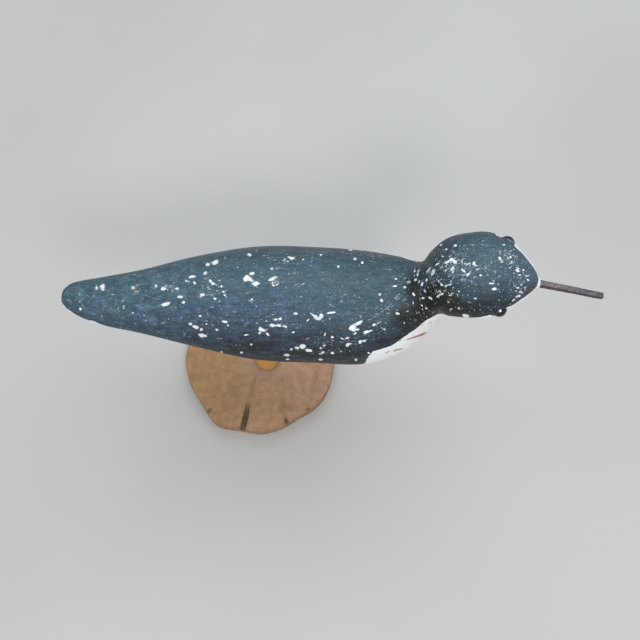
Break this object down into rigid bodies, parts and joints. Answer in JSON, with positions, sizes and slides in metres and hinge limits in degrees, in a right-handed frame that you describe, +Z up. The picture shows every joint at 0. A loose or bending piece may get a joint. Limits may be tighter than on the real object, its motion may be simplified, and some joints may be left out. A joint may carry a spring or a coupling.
{
  "type": "wooden shorebird figurine",
  "caption": "Carved and painted wooden wading bird with a round head, nail bill and bead eyes, standing on a dowel leg in a slice of log.",
  "frame": {"origin": "centre of the log slice's underside", "axes": "+X from the tail to the bill, +Y to the bird's left, +Z up along the leg"},
  "size_m": [0.2563, 0.0865, 0.163],
  "materials": {
    "painted_carving": "worn slate blue paint over white, flecked with small chips, white below",
    "rusty_iron": "grey pitted iron with brown rust along its edges",
    "black_bead": "glossy opaque black",
    "orange_paint": "worn ochre orange paint, satin",
    "end_grain": "bare sawn end grain, aged brown, with drying cracks"
  },
  "bodies": {
    "root": {"carved_bird": "painted_carving", "iron_bill": "rusty_iron", "eye_left": "black_bead", "eye_right": "black_bead", "leg_dowel": "orange_paint", "log_slice_base": "end_grain"}
  },
  "joints": []
}
